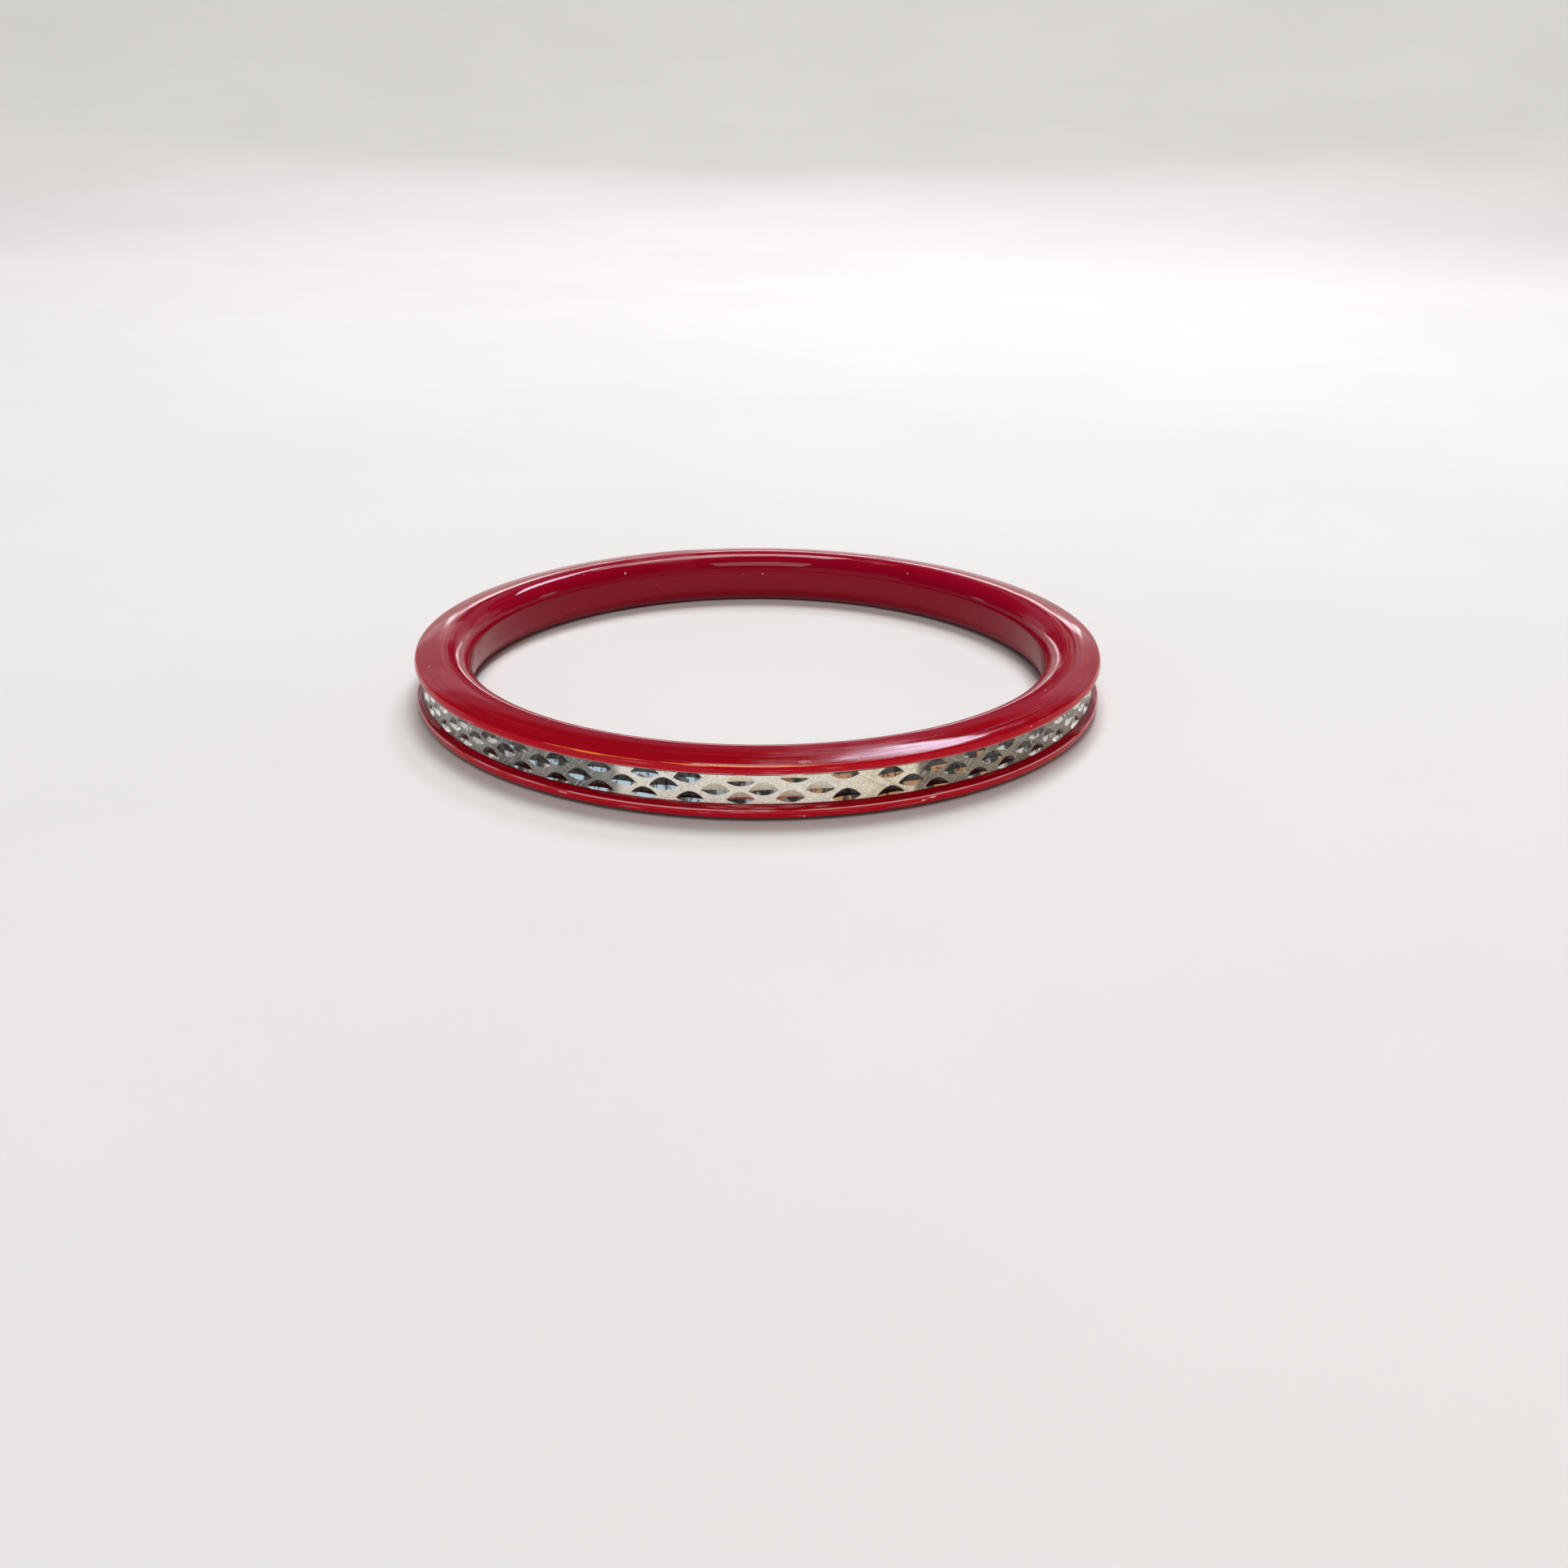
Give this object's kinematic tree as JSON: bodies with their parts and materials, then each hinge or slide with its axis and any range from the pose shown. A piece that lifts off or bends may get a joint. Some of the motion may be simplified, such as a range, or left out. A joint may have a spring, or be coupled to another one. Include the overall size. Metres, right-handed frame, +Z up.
{
  "type": "bangle",
  "caption": "Rigid round plastic bangle of channel section, open outwards, with a diamond-cut silver band set in the groove round its rim.",
  "frame": {"origin": "centre of the ring on the plane that it lies on", "axes": "+Z up along the ring's axis; -Y is the side that faces the viewer"},
  "size_m": [0.068, 0.068, 0.0056],
  "materials": {
    "red_plastic": "polished deep red with fine turning streaks and light wear",
    "cut_silver": "silver with a matt scratched ground and bright almond-shaped cuts"
  },
  "bodies": {
    "root": {"bangle_ring": "red_plastic", "silver_band": "cut_silver"}
  },
  "joints": []
}
